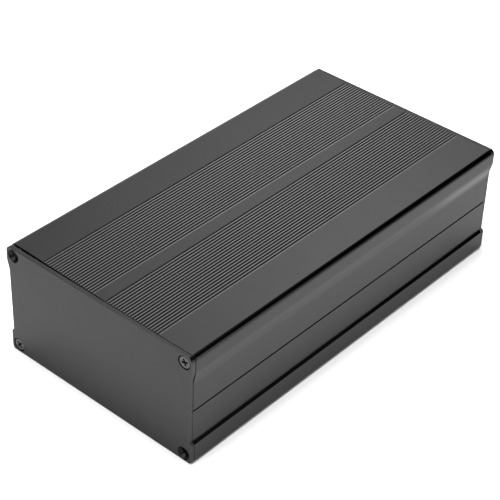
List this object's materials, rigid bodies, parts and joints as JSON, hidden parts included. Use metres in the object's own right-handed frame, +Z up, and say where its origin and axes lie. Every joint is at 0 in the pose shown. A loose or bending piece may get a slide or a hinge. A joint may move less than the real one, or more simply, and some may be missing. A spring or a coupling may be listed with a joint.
{
  "type": "aluminium enclosure",
  "caption": "Split extruded aluminium enclosure with a finely grooved top, interlocking shells, inner board guides and screwed flat end panels.",
  "frame": {"origin": "middle of the base, on the surface that the case stands on", "axes": "+Z up, +Y along the case from the front panel to the rear panel, +X across it to the right as the front is seen"},
  "size_m": [0.105, 0.2, 0.055],
  "materials": {
    "shell": "black anodised, satin",
    "panel": "black anodised, fine matt",
    "screw": "black zinc"
  },
  "bodies": {
    "root": {"upper_shell": "shell", "lower_shell": "shell", "front_panel": "panel", "rear_panel": "panel", "front_screws": "screw", "rear_screws": "screw"}
  },
  "joints": []
}
